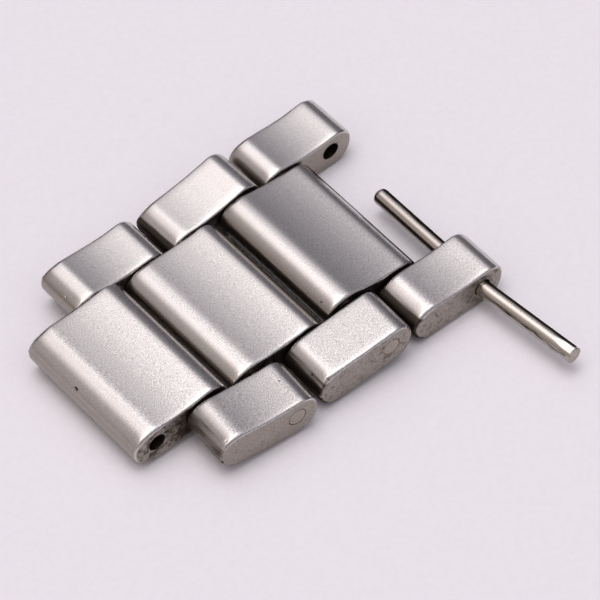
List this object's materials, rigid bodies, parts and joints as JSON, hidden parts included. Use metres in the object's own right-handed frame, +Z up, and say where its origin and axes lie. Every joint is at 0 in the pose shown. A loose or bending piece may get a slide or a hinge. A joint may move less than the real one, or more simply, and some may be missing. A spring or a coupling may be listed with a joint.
{
  "type": "watch bracelet link section",
  "caption": "Steel watch bracelet section: centre links hinged between outer links on cross pins, one end pin half drawn out.",
  "frame": {"origin": "middle of the underside of the second centre link, which lies level", "axes": "+X along the chain towards the end with the half-drawn pin, +Y across it along the pins towards the far outer links, +Z up through the polished top"},
  "size_m": [0.0276, 0.0267, 0.0037],
  "materials": {
    "link_steel": "fine satin, lightly worn",
    "pin_steel": "drawn and polished"
  },
  "bodies": {
    "centre_link_1": {"centre_link_1": "link_steel"},
    "centre_link_2": {"centre_link_2": "link_steel"},
    "centre_link_3": {"centre_link_3": "link_steel"},
    "link_pair_1": {"outer_link_far_1": "link_steel", "outer_link_near_1": "link_steel", "fixed_pin_1": "pin_steel"},
    "link_pair_2": {"outer_link_far_2": "link_steel", "outer_link_near_2": "link_steel", "fixed_pin_2": "pin_steel"},
    "link_pair_3": {"outer_link_far_3": "link_steel", "outer_link_near_3": "link_steel", "fixed_pin_3": "pin_steel"},
    "removable_pin_1": {"removable_pin_1": "pin_steel"},
    "removable_pin_2": {"removable_pin_2": "pin_steel"},
    "removable_pin_3": {"removable_pin_3": "pin_steel"}
  },
  "joints": [
    {"name": "link_pair_1_hinge", "type": "hinge", "parent": "centre_link_2", "child": "link_pair_1", "pos_m": [-0.002, 0, 0.00165], "axis": [0, 1, 0], "range_deg": [-54.2, 45.8]},
    {"name": "centre_link_1_hinge", "type": "hinge", "parent": "link_pair_1", "child": "centre_link_1", "pos_m": [-0.00599, 0, 0.00194], "axis": [0, 1, 0], "range_deg": [-42, 58]},
    {"name": "link_pair_2_hinge", "type": "hinge", "parent": "centre_link_2", "child": "link_pair_2", "pos_m": [0.002, 0, 0.00165], "axis": [0, -1, 0], "range_deg": [-55.3, 44.7]},
    {"name": "centre_link_3_hinge", "type": "hinge", "parent": "link_pair_2", "child": "centre_link_3", "pos_m": [0.00598, 0, 0.00202], "axis": [0, -1, 0], "range_deg": [-37.7, 62.3]},
    {"name": "link_pair_3_hinge", "type": "hinge", "parent": "centre_link_3", "child": "link_pair_3", "pos_m": [0.00995, 0, 0.00153], "axis": [0, -1, 0], "range_deg": [-55.1, 44.9]},
    {"name": "removable_pin_1_slide", "type": "slide", "parent": "link_pair_1", "child": "removable_pin_1", "axis": [0, -1, 0], "range_m": [0, 0.0184]},
    {"name": "removable_pin_2_slide", "type": "slide", "parent": "link_pair_2", "child": "removable_pin_2", "axis": [0, -1, 0], "range_m": [0, 0.0184]},
    {"name": "removable_pin_3_slide", "type": "slide", "parent": "link_pair_3", "child": "removable_pin_3", "axis": [0, -1, 0], "range_m": [0, 0.0104]}
  ]
}
